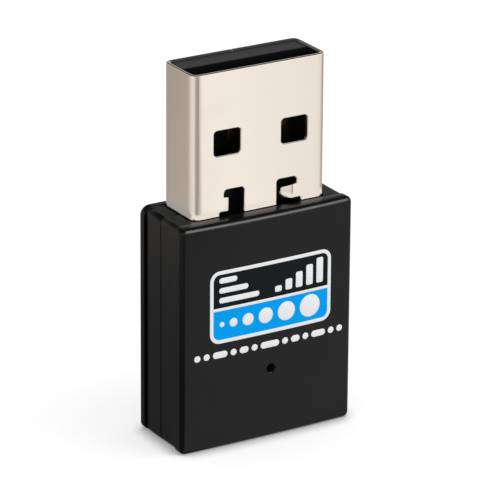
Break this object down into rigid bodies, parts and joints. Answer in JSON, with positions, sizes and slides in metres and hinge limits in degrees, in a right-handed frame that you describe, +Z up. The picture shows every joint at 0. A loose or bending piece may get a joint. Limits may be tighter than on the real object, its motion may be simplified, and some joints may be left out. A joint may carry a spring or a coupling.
{
  "type": "usb wifi adapter",
  "caption": "Short black USB wireless adapter: a plastic housing split at a mid seam, with a shadow groove and a pinhole, and a bare USB plug.",
  "frame": {"origin": "on the bottom face, at the middle of the housing's width and depth", "axes": "+Z up along the plug, from the closed end to the plug's tip; +X across the plug, to the right seen from the printed face; +Y from the printed front face to the back"},
  "size_m": [0.0156, 0.0068, 0.0305],
  "materials": {
    "housing_plastic": "fine satin moulded ABS, black",
    "plug_steel": "satin nickel plate on folded steel sheet, warm",
    "plug_plastic": "moulded black LCP",
    "contact_gold": "gold flash on copper alloy",
    "board_laminate": "green solder mask on glass-fibre laminate",
    "chip_resin": "black moulding resin",
    "crystal_metal": "plated lid on a ceramic tray",
    "led_resin": "clear resin on a white base",
    "coil_ferrite": "sintered ferrite",
    "antenna_copper": "printed copper trace",
    "capacitor_ceramic": "tan ceramic with tinned ends",
    "resistor_film": "black glazed film with tinned ends",
    "filter_ceramic": "blue-grey ceramic with plated ends",
    "inductor_ceramic": "pale ceramic with plated ends"
  },
  "bodies": {
    "root": {"front_cover": "housing_plastic", "rear_cover": "housing_plastic", "plug_shell": "plug_steel", "plug_insulator": "plug_plastic", "contact_vbus": "contact_gold", "contact_data_minus": "contact_gold", "contact_data_plus": "contact_gold", "contact_ground": "contact_gold", "circuit_board": "board_laminate", "wifi_chip": "chip_resin", "voltage_regulator": "chip_resin", "crystal": "crystal_metal", "status_led": "led_resin", "power_inductor": "coil_ferrite", "antenna_left": "antenna_copper", "antenna_right": "antenna_copper", "capacitor_01": "capacitor_ceramic", "capacitor_02": "capacitor_ceramic", "capacitor_03": "capacitor_ceramic", "capacitor_04": "capacitor_ceramic", "capacitor_05": "capacitor_ceramic", "capacitor_06": "capacitor_ceramic", "capacitor_07": "capacitor_ceramic", "capacitor_08": "capacitor_ceramic", "capacitor_09": "capacitor_ceramic", "capacitor_10": "capacitor_ceramic", "capacitor_11": "capacitor_ceramic", "capacitor_12": "capacitor_ceramic", "power_capacitor_1": "capacitor_ceramic", "power_capacitor_2": "capacitor_ceramic", "resistor_01": "resistor_film", "resistor_02": "resistor_film", "resistor_03": "resistor_film", "resistor_04": "resistor_film", "resistor_05": "resistor_film", "rf_filter_left": "filter_ceramic", "rf_filter_right": "filter_ceramic", "rf_inductor_left": "inductor_ceramic", "rf_inductor_right": "inductor_ceramic"}
  },
  "joints": []
}
